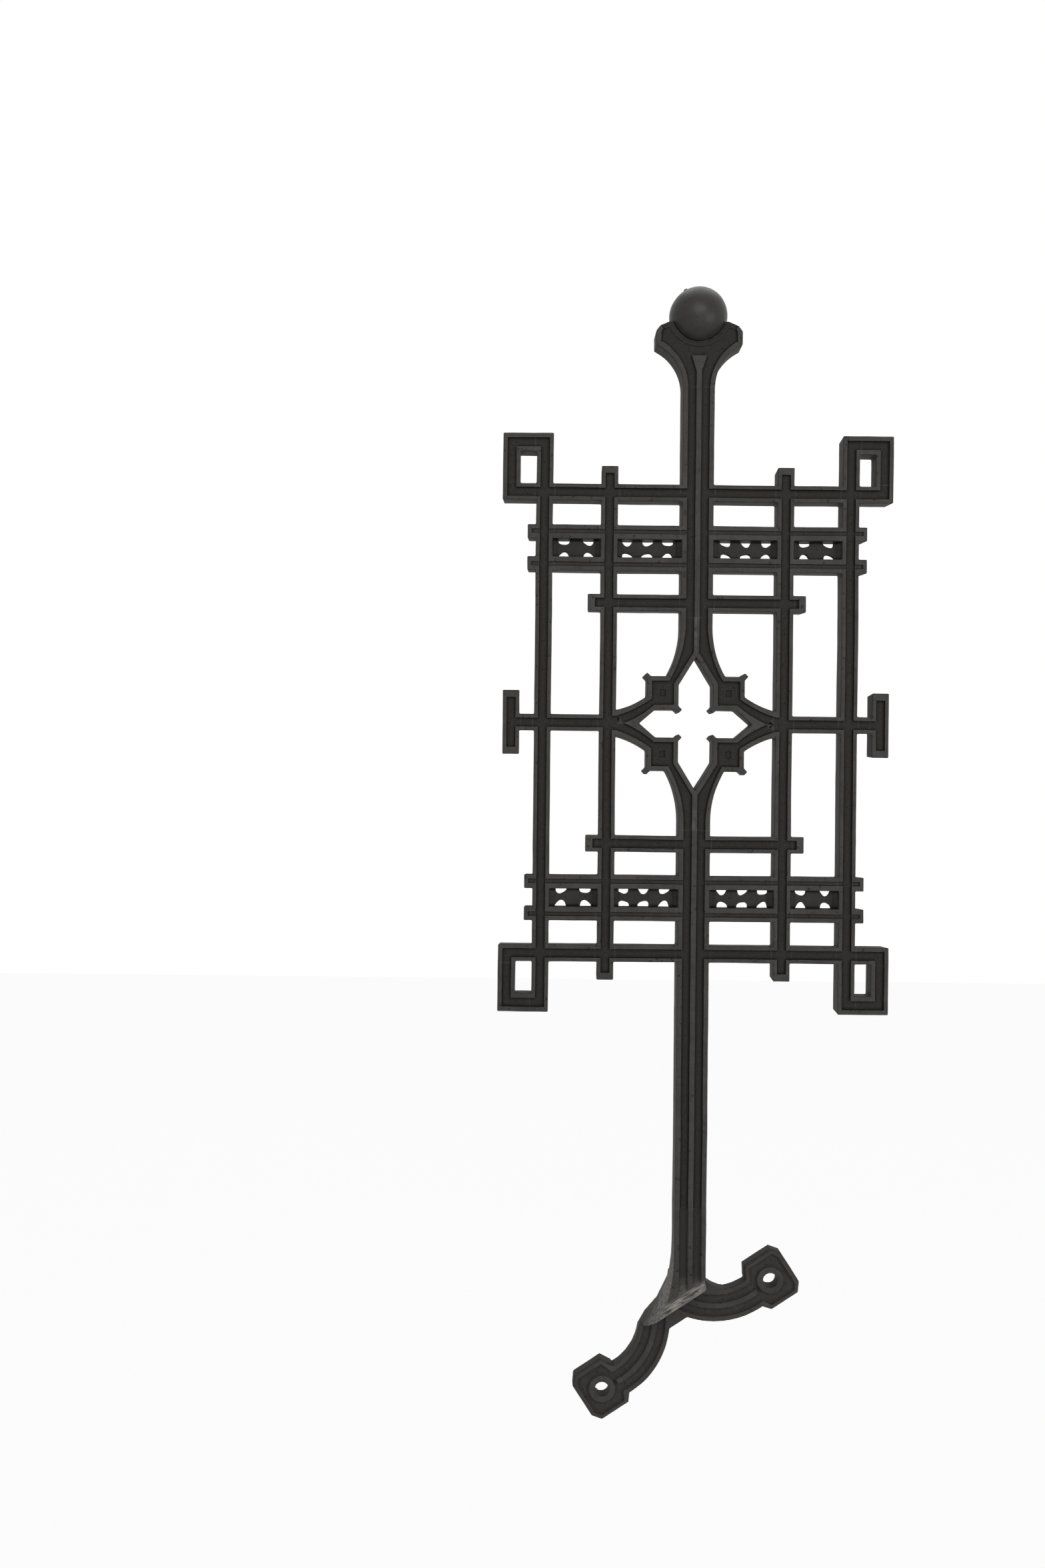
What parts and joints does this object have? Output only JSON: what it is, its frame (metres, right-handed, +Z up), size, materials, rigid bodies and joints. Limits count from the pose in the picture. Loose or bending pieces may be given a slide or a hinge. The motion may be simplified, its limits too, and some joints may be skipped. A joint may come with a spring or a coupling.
{
  "type": "side-fixed stair baluster",
  "caption": "Cast-iron side-fixed stair baluster: reeded square lattice with a quatrefoil on a stem, a ball in a cradle, and a raked forked screw foot.",
  "frame": {"origin": "mid-point between the two screw holes of the foot, on the back plane of the foot that lies against the stair string", "axes": "+Z up along the stem, +X to the right seen from the front, -Y the decorated front, +Y into the wall"},
  "size_m": [0.2642, 0.0627, 0.7897],
  "materials": {
    "cast_iron": "matte black sand-cast iron, fine grain",
    "cast_iron_trays": "matte black sand-cast iron, rough in the recesses"
  },
  "bodies": {
    "root": {"bottom_rail": "cast_iron", "bottom_tie_rail": "cast_iron", "bottom_tray_rail_inner": "cast_iron", "bottom_tray_rail_outer": "cast_iron", "corner_return_lower_left": "cast_iron", "corner_return_lower_right": "cast_iron", "corner_return_upper_left": "cast_iron", "corner_return_upper_right": "cast_iron", "cradle": "cast_iron", "end_tee_left": "cast_iron", "end_tee_right": "cast_iron", "finial_ball": "cast_iron", "foot_knee": "cast_iron", "foot_leg_left": "cast_iron", "foot_leg_right": "cast_iron", "foot_pad_left": "cast_iron", "foot_pad_right": "cast_iron", "inner_upright_left": "cast_iron", "inner_upright_right": "cast_iron", "lower_stem": "cast_iron", "middle_rail_left": "cast_iron", "middle_rail_right": "cast_iron", "middle_tray_lower_left": "cast_iron_trays", "middle_tray_lower_right": "cast_iron_trays", "middle_tray_upper_left": "cast_iron_trays", "middle_tray_upper_right": "cast_iron_trays", "outer_upright_left": "cast_iron", "outer_upright_right": "cast_iron", "quatrefoil_arm_lower_left": "cast_iron", "quatrefoil_arm_lower_right": "cast_iron", "quatrefoil_arm_upper_left": "cast_iron", "quatrefoil_arm_upper_right": "cast_iron", "side_tray_lower_left": "cast_iron_trays", "side_tray_lower_right": "cast_iron_trays", "side_tray_upper_left": "cast_iron_trays", "side_tray_upper_right": "cast_iron_trays", "top_rail": "cast_iron", "top_tie_rail": "cast_iron", "top_tray_rail_inner": "cast_iron", "top_tray_rail_outer": "cast_iron", "upper_stem": "cast_iron"}
  },
  "joints": []
}
